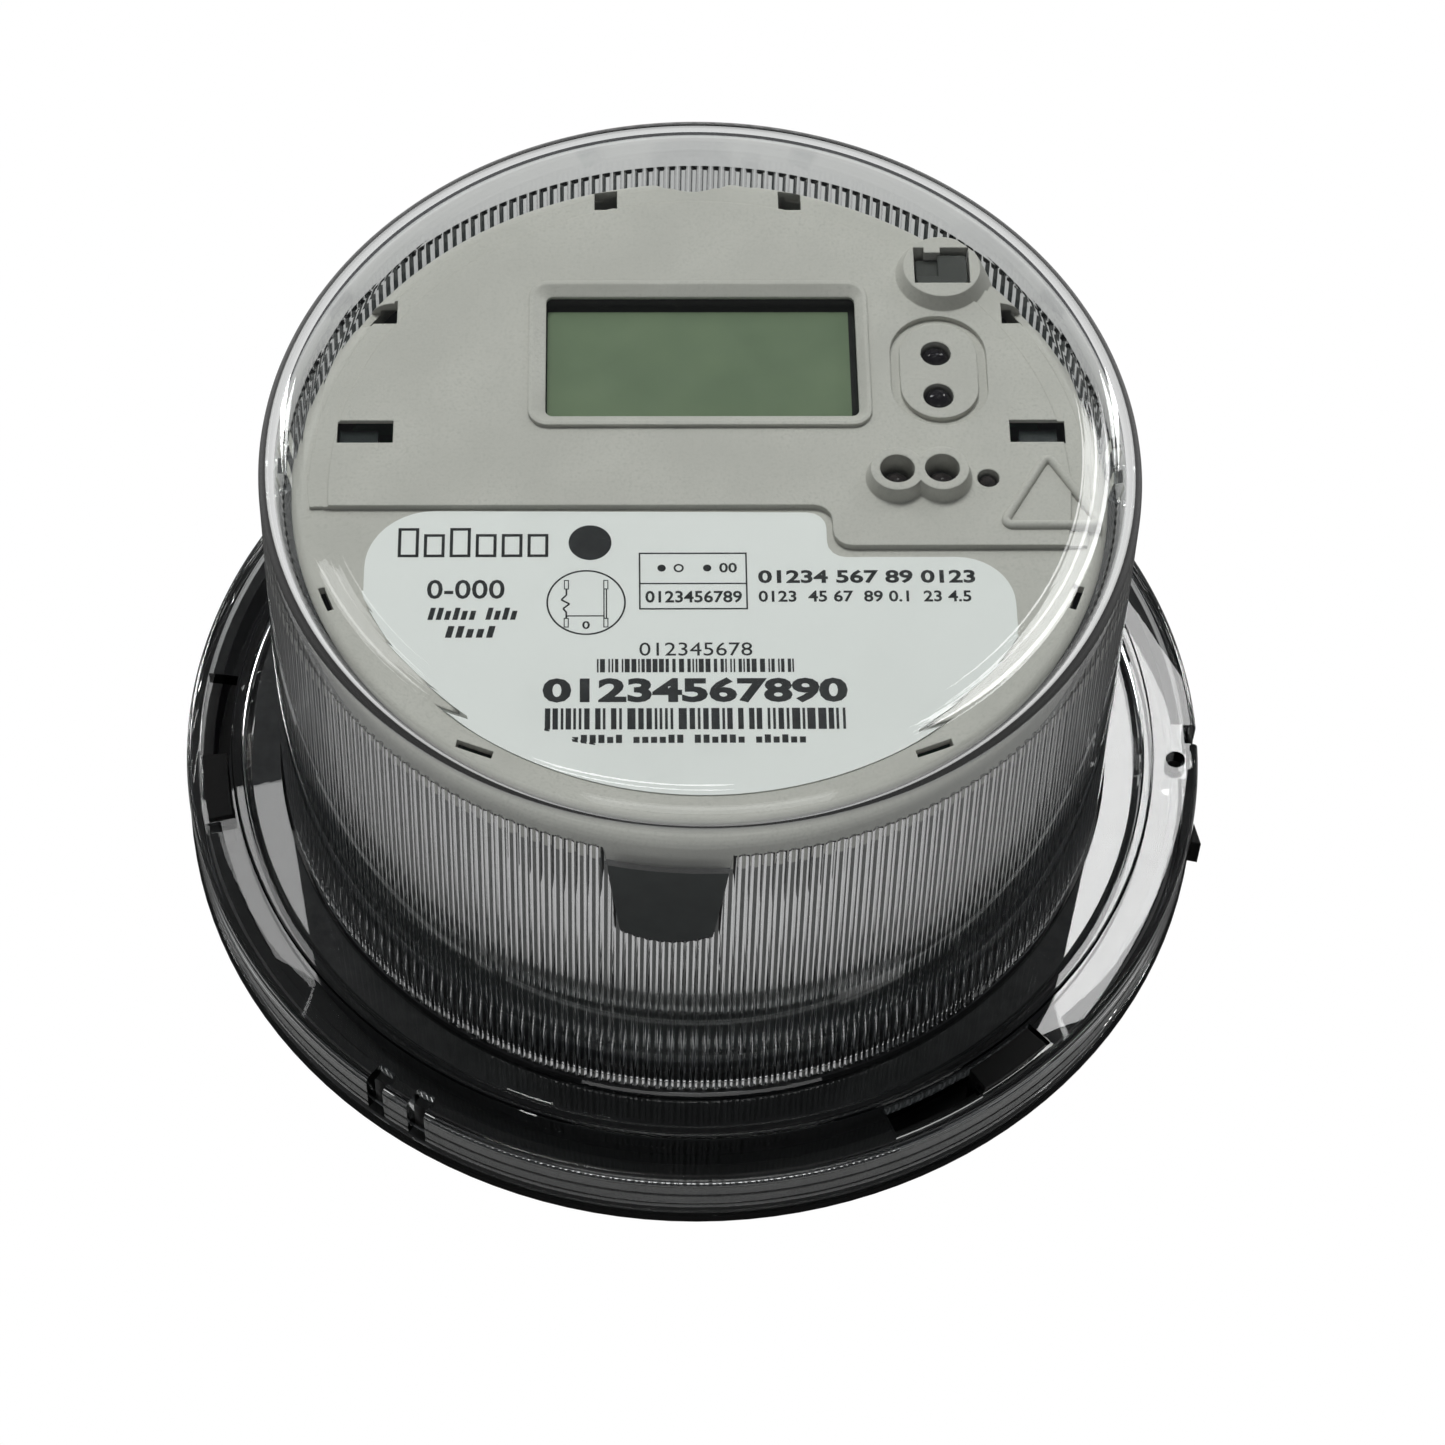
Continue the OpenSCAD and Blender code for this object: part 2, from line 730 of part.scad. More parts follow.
clear_cover();
cover_flange();
base();
cover_gasket();
line_blade_left();
line_blade_right();
load_blade_left();
load_blade_right();
blade_pins();
current_link_left();
current_link_right();
current_sensor_left();
current_sensor_right();
sensor_cradle();
sensor_leads();
voltage_contacts();
housing();
housing_screws();
comms_board();
radio_shield();
antenna();
board_header();
main_board();
board_screws();
supply_capacitors();
filter_capacitor();
surge_varistor();
processor_chips();
lcd_holder();
lcd_reflector();
lcd_contacts();
lcd_glass();
optical_detector();
optical_emitter();
pulse_leds();
status_led();
reset_switch();
reset_plunger();
faceplate();
nameplate();
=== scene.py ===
import json
import math
import random

import bmesh
import bpy
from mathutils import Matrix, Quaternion, Vector


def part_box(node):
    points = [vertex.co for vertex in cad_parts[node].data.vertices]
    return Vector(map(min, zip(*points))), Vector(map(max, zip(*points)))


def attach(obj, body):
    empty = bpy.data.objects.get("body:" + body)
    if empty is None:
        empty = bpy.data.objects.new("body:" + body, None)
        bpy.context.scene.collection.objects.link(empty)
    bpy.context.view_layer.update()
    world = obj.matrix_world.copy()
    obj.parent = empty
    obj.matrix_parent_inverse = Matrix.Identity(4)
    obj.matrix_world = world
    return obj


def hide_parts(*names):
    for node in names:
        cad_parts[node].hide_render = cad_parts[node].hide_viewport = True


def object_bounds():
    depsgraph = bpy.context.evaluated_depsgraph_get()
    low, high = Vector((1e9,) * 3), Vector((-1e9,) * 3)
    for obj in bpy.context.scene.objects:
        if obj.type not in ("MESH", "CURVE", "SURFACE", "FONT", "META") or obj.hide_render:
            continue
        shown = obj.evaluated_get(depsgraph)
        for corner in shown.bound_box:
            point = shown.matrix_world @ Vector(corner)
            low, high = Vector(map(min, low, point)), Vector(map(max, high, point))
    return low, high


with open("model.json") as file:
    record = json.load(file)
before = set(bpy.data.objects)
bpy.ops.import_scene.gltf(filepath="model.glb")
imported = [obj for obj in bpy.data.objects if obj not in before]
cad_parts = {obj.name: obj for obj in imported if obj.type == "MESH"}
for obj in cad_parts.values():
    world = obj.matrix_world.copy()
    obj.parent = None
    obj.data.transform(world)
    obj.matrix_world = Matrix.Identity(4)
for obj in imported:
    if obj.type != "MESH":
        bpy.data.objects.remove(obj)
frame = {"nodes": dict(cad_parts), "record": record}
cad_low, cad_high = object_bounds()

# The looks of a socket electric meter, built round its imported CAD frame. Its lengths are in
# millimetres where they are multiplied by MM, and in metres elsewhere.
nodes = frame["nodes"]
MM = 0.001
# how far the flange's small ridge and the face's highest boss stand over the surface they are on
RIDGE_RISE = 0.7
BOSS_RISE = 2.6


# ---- helpers: colours, meshes ----

def linear(red, green, blue):
    """The linear colour of a display colour given as 0 to 255."""
    def one(value):
        value /= 255
        return value / 12.92 if value <= 0.04045 else ((value + 0.055) / 1.055) ** 2.4
    return one(red), one(green), one(blue), 1.0


def polar(radius, degrees, height=0.0):
    """A point in metres from a radius and a height in millimetres and an angle from +X."""
    angle = math.radians(degrees)
    return Vector((radius * math.cos(angle), radius * math.sin(angle), height)) * MM


def new_piece(name, vertices, faces):
    """A mesh object with those vertices in metres, its faces turned outwards."""
    mesh = bpy.data.meshes.new(name)
    mesh.from_pydata(vertices, [], faces)
    piece = bpy.data.objects.new(name, mesh)
    bpy.context.scene.collection.objects.link(piece)
    work = bmesh.new()
    work.from_mesh(mesh)
    bmesh.ops.recalc_face_normals(work, faces=work.faces)
    work.to_mesh(mesh)
    work.free()
    return piece


def add_sweep(vertices, faces, section, start, end, step=1.5):
    """Adds a closed (radius, height) section in millimetres, turned between two angles."""
    count = max(2, math.ceil(abs(end - start) / step))
    base, size = len(vertices), len(section)
    for i in range(count + 1):
        angle = start + (end - start) * i / count
        vertices += [polar(radius, angle, height) for radius, height in section]
    for i in range(count):
        for j in range(size):
            a = base + i * size + j
            b = base + i * size + (j + 1) % size
            faces.append((a, b, b + size, a + size))
    faces.append(tuple(base + j for j in reversed(range(size))))
    faces.append(tuple(base + count * size + j for j in range(size)))


def rectangle(r_in, r_out, low, high):
    return [(r_in, low), (r_out, low), (r_out, high), (r_in, high)]


def cut(piece, cutter):
    """Takes the cutter's volume out of the piece and removes the cutter."""
    change = piece.modifiers.new("cut", "BOOLEAN")
    change.operation = "DIFFERENCE"
    change.solver = "EXACT"
    change.object = cutter
    bpy.context.view_layer.update()
    graph = bpy.context.evaluated_depsgraph_get()
    piece.data = bpy.data.meshes.new_from_object(piece.evaluated_get(graph))
    piece.modifiers.clear()
    bpy.data.objects.remove(cutter)


# ---- materials ----

class Material:
    """A node material with a Principled shader and procedural detail in frame coordinates."""

    def __init__(self, name, colour, roughness, metallic=0.0, ior=1.5):
        self.material = bpy.data.materials.new(name)
        self.material.use_nodes = True
        self.nodes = self.material.node_tree.nodes
        self.links = self.material.node_tree.links
        self.shader = self.nodes["Principled BSDF"]
        self.output = self.nodes["Material Output"]
        self.place = self.nodes.new("ShaderNodeTexCoord").outputs["Object"]
        self.colour = None
        self.base = colour
        self.shader.inputs["Base Color"].default_value = colour
        self.shader.inputs["Roughness"].default_value = roughness
        self.shader.inputs["Metallic"].default_value = metallic
        self.shader.inputs["IOR"].default_value = ior
        self.normal = None
        self.roughness = roughness

    def noise(self, scale, detail=3.0, stretch=None):
        """Noise with features about 1/scale metres across, as a value of 0 to 1."""
        texture = self.nodes.new("ShaderNodeTexNoise")
        texture.inputs["Scale"].default_value = scale
        texture.inputs["Detail"].default_value = detail
        place = self.place
        if stretch:
            mapping = self.nodes.new("ShaderNodeMapping")
            mapping.inputs["Scale"].default_value = stretch
            self.links.new(place, mapping.inputs["Vector"])
            place = mapping.outputs["Vector"]
        self.links.new(place, texture.inputs["Vector"])
        return texture.outputs["Fac"]

    def remap(self, value, low, high, to_low, to_high):
        node = self.nodes.new("ShaderNodeMapRange")
        for key, number in (("From Min", low), ("From Max", high),
                            ("To Min", to_low), ("To Max", to_high)):
            node.inputs[key].default_value = number
        self.links.new(value, node.inputs["Value"])
        return node.outputs["Result"]

    def maths(self, operation, first, second=None):
        node = self.nodes.new("ShaderNodeMath")
        node.operation = operation
        for socket, value in zip(node.inputs, (first, second)):
            if value is None:
                continue
            if isinstance(value, (int, float)):
                socket.default_value = value
            else:
                self.links.new(value, socket)
        return node.outputs["Value"]

    def blend(self, amount, first, second):
        """A colour between two, each a colour or a socket."""
        node = self.nodes.new("ShaderNodeMix")
        node.data_type = "RGBA"
        self.links.new(amount, node.inputs["Factor"])
        sockets = [s for s in node.inputs if s.type == "RGBA"]
        for socket, value in zip(sockets, (first, second)):
            if isinstance(value, tuple):
                socket.default_value = value
            else:
                self.links.new(value, socket)
        return next(s for s in node.outputs if s.type == "RGBA")

    def set_colour(self, socket):
        self.colour = socket
        self.links.new(socket, self.shader.inputs["Base Color"])

    def mottle(self, scale, darker, lighter):
        """Cloudy variation of the colour between two multiples of it."""
        base = self.colour or self.base
        amount = self.remap(self.noise(scale, 4.0), 0.35, 0.65, 0.0, 1.0)
        if isinstance(base, tuple):
            low = tuple(c * darker for c in base[:3]) + (1.0,)
            high = tuple(min(1.0, c * lighter) for c in base[:3]) + (1.0,)
            self.set_colour(self.blend(amount, low, high))
        return self

    def speckle(self, scale, amount):
        """Fine darker grains over the colour."""
        darker = tuple(c * (1 - 2 * amount) for c in self.base[:3]) + (1.0,)
        grains = self.remap(self.noise(scale, 3.0), 0.5, 0.7, 0.0, 1.0)
        self.set_colour(self.blend(grains, self.colour or self.base, darker))
        return self

    def rough_noise(self, scale, low, high):
        value = self.remap(self.noise(scale, 4.0), 0.3, 0.7, low, high)
        self.links.new(value, self.shader.inputs["Roughness"])
        return self

    def bump(self, height, distance, strength=1.0):
        node = self.nodes.new("ShaderNodeBump")
        node.inputs["Distance"].default_value = distance
        node.inputs["Strength"].default_value = strength
        self.links.new(height, node.inputs["Height"])
        if self.normal:
            self.links.new(self.normal, node.inputs["Normal"])
        self.normal = node.outputs["Normal"]
        self.links.new(self.normal, self.shader.inputs["Normal"])
        return self

    def soft_edges(self, radius):
        """Shades sharp edges as if they were rounded."""
        node = self.nodes.new("ShaderNodeBevel")
        node.samples = 6
        node.inputs["Radius"].default_value = radius
        self.normal = node.outputs["Normal"]
        self.links.new(self.normal, self.shader.inputs["Normal"])
        return self

    def worn_and_highlit_edges(self, colour, radius=0.0004, strength=0.6):
        """Lightens the colour along sharp edges, broken up by noise: partly rubbed wear, partly
        a painted highlight.
        """
        rounded = self.nodes.new("ShaderNodeBevel")
        rounded.samples = 4
        rounded.inputs["Radius"].default_value = radius
        true = self.nodes.new("ShaderNodeNewGeometry").outputs["True Normal"]
        dot = self.nodes.new("ShaderNodeVectorMath")
        dot.operation = "DOT_PRODUCT"
        self.links.new(rounded.outputs["Normal"], dot.inputs[0])
        self.links.new(true, dot.inputs[1])
        edge = self.remap(dot.outputs["Value"], 0.80, 0.97, strength, 0.0)
        broken = self.remap(self.noise(700.0, 2.0), 0.35, 0.6, 0.2, 1.0)
        base = self.colour or self.base
        self.set_colour(self.blend(self.maths("MULTIPLY", edge, broken), base, colour))
        return self


def lighter(colour, factor):
    return tuple(min(1.0, c * factor) for c in colour[:3]) + (1.0,)


def plastic(name, colour, roughness=0.42, grain=0.000012, mottle=0.04, wear_and_highlight=1.35):
    """Moulded plastic: fine grain, soft mottling, uneven gloss and edges lightened as rubbed
    wear and painted highlight.
    """
    made = Material(name, colour, roughness)
    made.mottle(60.0, 1 - mottle, 1 + mottle)
    made.speckle(2200.0, mottle * 1.3)
    made.rough_noise(140.0, roughness - 0.06, roughness + 0.08)
    made.soft_edges(0.0004)
    made.bump(made.noise(2600.0, 2.0), grain)
    made.bump(made.noise(90.0, 2.0), grain * 2)
    made.worn_and_highlit_edges(lighter(colour, wear_and_highlight))
    return made


def metal(name, colour, roughness=0.3, brushed=(1.0, 1.0, 12.0)):
    """Worked metal with fine drawn lines, tarnish and bright edges."""
    made = Material(name, colour, roughness, metallic=1.0)
    made.mottle(180.0, 0.82, 1.05)
    made.rough_noise(400.0, roughness - 0.08, roughness + 0.14)
    made.bump(made.noise(900.0, 3.0, brushed), 0.00001)
    made.worn_and_highlit_edges(lighter(colour, 1.25), 0.0003, 0.8)
    return made


def rubber(name, colour):
    made = Material(name, colour, 0.7)
    made.mottle(220.0, 0.85, 1.15)
    made.rough_noise(500.0, 0.6, 0.82)
    made.bump(made.noise(3500.0, 3.0), 0.00002)
    return made


def circuit_board(name):
    """Solder mask over tracks, with a woven look and plated pads."""
    made = Material(name, linear(18, 84, 52), 0.32)
    cells = made.nodes.new("ShaderNodeTexVoronoi")
    cells.distance = "CHEBYCHEV"
    cells.inputs["Scale"].default_value = 260.0
    made.links.new(made.place, cells.inputs["Vector"])
    track = made.remap(cells.outputs["Distance"], 0.30, 0.36, 0.0, 0.65)
    made.set_colour(made.blend(track, linear(14, 72, 44), linear(38, 118, 74)))
    made.rough_noise(300.0, 0.26, 0.4)
    made.bump(cells.outputs["Distance"], 0.00003)
    made.worn_and_highlit_edges(linear(150, 140, 96), 0.0003, 0.8)
    return made


def see_through(name, colour, ior=1.585, roughness=0.0, waves=0.000004):
    """Clear plastic that bends what is behind it and lets the lamps light what it covers."""
    made = Material(name, colour, roughness, ior=ior)
    made.shader.inputs["Transmission Weight"].default_value = 1.0
    made.bump(made.noise(45.0, 1.0), waves * 4)
    made.bump(made.noise(700.0, 2.0), waves * 0.12)
    rays = made.nodes.new("ShaderNodeLightPath")
    through = made.nodes.new("ShaderNodeBsdfTransparent")
    through.inputs["Color"].default_value = (0.93, 0.94, 0.935, 1.0)
    either = made.maths("MAXIMUM", rays.outputs["Is Shadow Ray"], rays.outputs["Is Diffuse Ray"])
    mix = made.nodes.new("ShaderNodeMixShader")
    made.links.new(either, mix.inputs["Fac"])
    made.links.new(made.shader.outputs["BSDF"], mix.inputs[1])
    made.links.new(through.outputs["BSDF"], mix.inputs[2])
    made.links.new(mix.outputs["Shader"], made.output.inputs["Surface"])
    return made


# the display's dark margins, and half the width of their soft edge in metres
FIELD_LEFT, FIELD_FRONT, FIELD_RIGHT, FIELD_BACK = 2.7, 2.5, 3.5, 4.2
FIELD_EDGE = 0.00004


def display_glass(name):
    """The display: a yellow-green reflective field inside a near-black mask, under gloss."""
    low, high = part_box("lcd_glass")
    field_low = Vector((low.x + FIELD_LEFT * MM, low.y + FIELD_FRONT * MM))
    field_high = Vector((high.x - FIELD_RIGHT * MM, high.y - FIELD_BACK * MM))
    made = Material(name, linear(98, 113, 92), 0.16, ior=1.52)
    split = made.nodes.new("ShaderNodeSeparateXYZ")
    made.links.new(made.place, split.inputs["Vector"])
    inside = None
    for axis in (0, 1):
        centre = (field_low[axis] + field_high[axis]) / 2
        half = (field_high[axis] - field_low[axis]) / 2
        offset = made.maths("ABSOLUTE", made.maths("SUBTRACT", split.outputs[axis], centre))
        within = made.remap(offset, half - FIELD_EDGE, half + FIELD_EDGE, 1.0, 0.0)
        inside = within if inside is None else made.maths("MULTIPLY", inside, within)
    field = made.blend(made.remap(made.noise(70.0, 3.0), 0.3, 0.7, 0.0, 1.0),
                       linear(104, 121, 97), linear(116, 133, 106))
    made.set_colour(made.blend(inside, linear(32, 34, 32), field))
    made.rough_noise(300.0, 0.1, 0.22)
    made.shader.inputs["Coat Weight"].default_value = 0.4
    made.shader.inputs["Coat Roughness"].default_value = 0.06
    made.bump(made.noise(3000.0, 2.0), 0.000004)
    return made


def window_mask(name):
    """A dark matte patch on the cover's inner face, in the plain window at the front."""
    made = Material(name, linear(34, 40, 40), 0.5)
    made.mottle(120.0, 0.9, 1.1)
    made.rough_noise(300.0, 0.42, 0.6)
    made.bump(made.noise(2000.0, 2.0), 0.000006)
    return made


def lens(name, colour):
    """A smoky moulded lens: dark body, wet gloss, faint flow marks."""
    made = Material(name, colour, 0.06, ior=1.55)
    made.mottle(600.0, 0.7, 1.3)
    made.rough_noise(900.0, 0.04, 0.12)
    made.bump(made.noise(700.0, 2.0), 0.000008)
    return made


def paper(name):
    """Printed white film: faint dirt, fine tooth and a dull sheen."""
    made = Material(name, linear(226, 229, 226), 0.5)
    stain = made.remap(made.noise(26.0, 5.0), 0.55, 0.8, 0.0, 0.35)
    made.set_colour(made.blend(stain, linear(236, 239, 236), linear(212, 215, 211)))
    made.rough_noise(200.0, 0.42, 0.58)
    made.bump(made.noise(4000.0, 2.0), 0.000006)
    return made


def paint_nodes():
    """Gives every CAD node its material."""
    face = linear(192, 191, 184)
    face_plastic = plastic("face_plastic", face, 0.46, 0.000022, 0.045, 1.12)
    black = plastic("base_plastic", linear(14, 14, 14), 0.46, 0.00001, 0.12, 2.2)
    dark = plastic("housing_plastic", linear(38, 44, 44), 0.42, 0.00001, 0.08, 1.6)
    chip = plastic("chip_plastic", linear(30, 31, 32), 0.5, 0.000012, 0.1, 1.8)
    tinned = metal("tinned_copper", linear(205, 203, 196), 0.3)
    copper = metal("copper", linear(214, 140, 98), 0.32)
    steel = metal("steel", linear(186, 187, 189), 0.28)
    black.shader.inputs["Specular IOR Level"].default_value = 0.25
    board = circuit_board("circuit_board")
    looks = {
        "base": black,
        "cover_gasket": rubber("gasket_rubber", linear(32, 32, 33)),
        "line_blade_left": tinned, "line_blade_right": tinned,
        "load_blade_left": tinned, "load_blade_right": tinned,
        "blade_pins": steel, "current_link_left": copper, "current_link_right": copper,
        "current_sensor_left": plastic("sensor_potting", linear(38, 62, 104), 0.38),
        "sensor_cradle": plastic("white_plastic", linear(216, 214, 204), 0.45),
        "sensor_leads": plastic("lead_insulation", linear(196, 44, 40), 0.4),
        "voltage_contacts": metal("gilt_brass", linear(222, 184, 106), 0.26),
        "housing": dark, "housing_screws": steel, "comms_board": board,
        "radio_shield": metal("shield_tin", linear(198, 200, 200), 0.34),
        "board_header": chip, "main_board": board, "board_screws": steel,
        "supply_capacitors": plastic("capacitor_sleeve", linear(30, 36, 60), 0.3),
        "filter_capacitor": plastic("film_capacitor", linear(196, 160, 54), 0.35),
        "surge_varistor": plastic("varistor_coating", linear(38, 84, 150), 0.36),
        "processor_chips": chip, "lcd_holder": chip,
        "lcd_reflector": plastic("reflector_film", linear(214, 216, 208), 0.3),
        "lcd_contacts": rubber("zebra_rubber", linear(92, 92, 92)),
        "lcd_glass": display_glass("lcd_glass"),
        "optical_detector": lens("infrared_lens", linear(22, 19, 24)),
        "pulse_leds": lens("led_lens", linear(44, 40, 40)),
        "reset_switch": chip,
        "reset_plunger": plastic("plunger_plastic", linear(62, 64, 61), 0.42),
        "faceplate": face_plastic,
        "nameplate": paper("nameplate_sheet"),
    }
    looks["current_sensor_right"] = looks["current_sensor_left"]
    looks["optical_emitter"] = looks["optical_detector"]
    looks["status_led"] = looks["pulse_leds"]
    looks["antenna"] = looks["radio_shield"]
    for name, look in looks.items():
        mesh = nodes[name].data
        for i in range(len(mesh.materials)):
            nodes[name].material_slots[i].link = "OBJECT"
            nodes[name].material_slots[i].material = look.material
    missing = set(nodes) - set(looks) - {"clear_cover", "cover_flange"}
    assert not missing, missing
    return looks


# ---- the clear cover ----

RIBS = 228
RIB_HEIGHT = 0.52
RIB_LOW, RIB_HIGH = 12.4, 83.5
RIB_END = 0.5
# one rib's outline: share of the pitch from its middle, share of its height
RIB_OUTLINE = [(-0.44, 0.0), (-0.28, 0.48), (-0.16, 1.0), (0.16, 1.0), (0.28, 0.48), (0.44, 0.0)]
WINDOW_ANGLE, WINDOW_TOP_HALF, WINDOW_FOOT_HALF = -94.8, 8.2, 6.0
WINDOW_FOOT, WINDOW_SHOULDER = 59.0, 61.0
MASK_TOP = 78.7
RIB_ROWS = 5
MASK_ROW = 3
CLEAR = (0.97, 0.98, 0.975, 1.0)


def rib_top(degrees):
    """How high the ribs reach at an angle: lower under the plain window at the front."""
    away = abs((degrees - WINDOW_ANGLE + 180) % 360 - 180)
    if away >= WINDOW_TOP_HALF:
        return RIB_HIGH
    if away >= WINDOW_FOOT_HALF:
        share = (away - WINDOW_FOOT_HALF) / (WINDOW_TOP_HALF - WINDOW_FOOT_HALF)
        return WINDOW_SHOULDER + (RIB_HIGH - WINDOW_SHOULDER) * share
    return WINDOW_FOOT + (WINDOW_SHOULDER - WINDOW_FOOT) * (away / WINDOW_FOOT_HALF) ** 2


def quarter(centre_r, centre_z, radius, start, end, steps):
    """Points of a quarter round in the cover's section."""
    points = []
    for i in range(steps + 1):
        angle = math.radians(start + (end - start) * i / steps)
        points.append((centre_r + radius * math.cos(angle), centre_z + radius * math.sin(angle)))
    return points


def cover_section():
    """The cover's section from the top's middle, down the outside and up the inside."""
    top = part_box("clear_cover")[1].z / MM
    flange_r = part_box("cover_flange")[1].x / MM
    flange_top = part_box("cover_flange")[1].z / MM - RIDGE_RISE
    skirt_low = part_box("cover_flange")[0].z / MM
    wall, corner, wall_r = 2.4, 6.0, 70.1
    foot_r = wall_r + 1.5
    under = flange_top - 3
    outer = [(20, top), (44, top)]
    for groove in (60.5, 62.5):
        outer += [(groove - 0.5, top), (groove - 0.3, top), (groove, top - 0.02),
                  (groove + 0.3, top), (groove + 0.5, top)]
    outer += [(63.7, top)]
    outer += quarter(wall_r - corner, top - corner, corner, 90, 0, 12)
    outer += [(foot_r - 0.75, (top - corner + flange_top) / 2)]
    outer += [(foot_r, flange_top - 0.7), (foot_r + 0.4, flange_top - 1.1),
              (77, flange_top - 1.1),
              (77.8, flange_top - 0.7), (78.2, flange_top), (78.4, flange_top + 0.5),
              (78.7, flange_top + 0.7), (79.9, flange_top + 0.7), (80.2, flange_top + 0.5),
              (80.4, flange_top)]
    outer += quarter(flange_r - 1.1, flange_top - 1.1, 1.1, 90, 0, 9)
    outer += [(flange_r, 9.6), (flange_r - 0.12, 9.3), (flange_r, 9.0), (flange_r, 6.6),
              (flange_r - 0.12, 6.3), (flange_r, 6.0)]
    outer += quarter(flange_r - 0.4, skirt_low + 0.4, 0.4, 0, -90, 2)
    outer += quarter(flange_r - 1.6, skirt_low + 0.4, 0.4, -90, -180, 2)
    outer += [(flange_r - 2, under), (foot_r - wall, under)]
    inner_top = [(wall_r - corner, top - wall), (60, top - wall), (44, top - wall),
                 (20, top - wall)]
    rounding = quarter(wall_r - corner, top - corner, corner - wall, 0, 90, 12)[:-1]
    return outer, rounding + inner_top, top, wall, foot_r, wall_r, flange_top, corner


def inner_radius(height, foot_r, wall_r, wall, flange_top, shoulder):
    share = (height - flange_top) / (shoulder - flange_top)
    return foot_r - wall + (wall_r - foot_r) * max(0.0, min(1.0, share))


def cover_shell():
    """The cup and flange in one closed mesh, with its fine ribs inside the wall."""
    outer, inside, top, wall, foot_r, wall_r, flange_top, corner = cover_section()
    shoulder = top - corner
    columns = []
    for rib in range(RIBS):
        for share, height in RIB_OUTLINE:
            angle = (rib + share) * 360 / RIBS
            columns.append((angle, height * RIB_HEIGHT))
    vertices = []
    for angle, height in columns:
        high = rib_top(angle)
        ribs = [(RIB_LOW, 0.0), (RIB_LOW + RIB_END, height), (high - RIB_END, height),
                (high, 0.0), (max(high + 0.2, MASK_TOP), 0.0)]
        rows = list(outer)
        for z, depth in ribs:
            r = inner_radius(z, foot_r, wall_r, wall, flange_top, shoulder)
            rows.append((r - depth, z))
        rows += inside
        vertices += [polar(r, angle, z) for r, z in rows]
    size = len(outer) + RIB_ROWS + len(inside)
    count = len(columns)
    faces = []
    for i in range(count):
        near, far = i * size, (i + 1) % count * size
        for j in range(size - 1):
            faces.append((near + j, far + j, far + j + 1, near + j + 1))
    faces.append(tuple(i * size for i in range(count)))
    faces.append(tuple(i * size + size - 1 for i in range(count)))
    shell = new_piece("clear_cover_shell", vertices, faces)
    shell.data.materials.append(see_through("clear_polycarbonate", CLEAR).material)
    shell.data.materials.append(window_mask("window_mask").material)
    mask_row = len(outer) + MASK_ROW
    for i in range(count):
        if columns[i][0] % 360 > 180 and rib_top(columns[i][0]) < MASK_TOP:
            if rib_top(columns[(i + 1) % count][0]) < MASK_TOP:
                shell.data.polygons[i * (size - 1) + mask_row].material_index = 1
    return shell


LOCK_ANGLES = (62.5, 182.5, 302.5)
LOCK_HALF = 10.5
SLOT_IN, SLOT_OUT, POST_OUT = 80.8, 85.8, 83.6
SLOT_SLACK = 0.15
CLIP_ANGLES, CLIP_HALF, CLIP_IN = (-127.3, -121.9), 1.1, 84.5
SEAL_NOTCH = (-2.3, 0.3)
NOTCH_OUT, NOTCH_LOW = 90, 4.5
HOLE_R, HOLE_STEPS = 1.7, 24


def cut_cover(cover):
    """Cuts the lock slots, the clip notches and the seal hole out of the flange."""
    flange_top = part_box("cover_flange")[1].z / MM - RIDGE_RISE
    low, high = flange_top - 4, flange_top + 1
    first_v, first_f = [], []
    for angle in LOCK_ANGLES:
        section = rectangle(SLOT_IN - SLOT_SLACK, SLOT_OUT + SLOT_SLACK, low, high)
        add_sweep(first_v, first_f, section, angle - LOCK_HALF, angle + 0.5)
    for angle in CLIP_ANGLES:
        section = rectangle(CLIP_IN, NOTCH_OUT, NOTCH_LOW, high)
        add_sweep(first_v, first_f, section, angle - CLIP_HALF, angle + CLIP_HALF, 0.5)
    section = rectangle(SLOT_OUT, NOTCH_OUT, NOTCH_LOW, high)
    add_sweep(first_v, first_f, section, *SEAL_NOTCH, 0.5)
    base = len(first_v)
    mounts = {mount["name"]: mount for mount in frame["record"]["mounts"]}
    hole = Vector(mounts["seal_hole"]["pos_m"][:2])
    for i in range(HOLE_STEPS):
        angle = math.radians(i * 360 / HOLE_STEPS)
        point = hole + HOLE_R * MM * Vector((math.cos(angle), math.sin(angle)))
        first_v += [(point.x, point.y, low * MM), (point.x, point.y, high * MM)]
    for i in range(HOLE_STEPS):
        a, b = base + 2 * i, base + 2 * ((i + 1) % HOLE_STEPS)
        first_f.append((a, b, b + 1, a + 1))
    first_f.append(tuple(base + 2 * i for i in reversed(range(HOLE_STEPS))))
    first_f.append(tuple(base + 2 * i + 1 for i in range(HOLE_STEPS)))
    cut(cover, new_piece("cutter_a", first_v, first_f))
    second_v, second_f = [], []
    shelf = flange_top - 1.6
    for angle in LOCK_ANGLES:
        section = [(SLOT_IN, low), (POST_OUT, low), (POST_OUT, shelf), (SLOT_OUT, shelf),
                   (SLOT_OUT, high), (SLOT_IN, high)]
        add_sweep(second_v, second_f, section, angle + 0.2, angle + LOCK_HALF)
    cut(cover, new_piece("cutter_b", second_v, second_f))


LUG_ANGLES = ((176.2, 178.6), (181.2, 183.8), (-5.6, -3.4), (0.4, 2.4))


def join_lugs(cover):
    """Adds the small moulded stops inside the cup's top corner."""
    vertices, faces = [], []
    section = [(64.9, 88.2), (67.2, 86.6), (67.55, 87.4), (67.45, 91.2), (66.6, 92.6),
               (65.4, 92.0)]
    for start, end in LUG_ANGLES:
        add_sweep(vertices, faces, section, start, end, 0.4)
    lugs = new_piece("lugs", vertices, faces)
    work = bmesh.new()
    work.from_mesh(cover.data)
    work.from_mesh(lugs.data)
    work.to_mesh(cover.data)
    work.free()
    bpy.data.objects.remove(lugs)


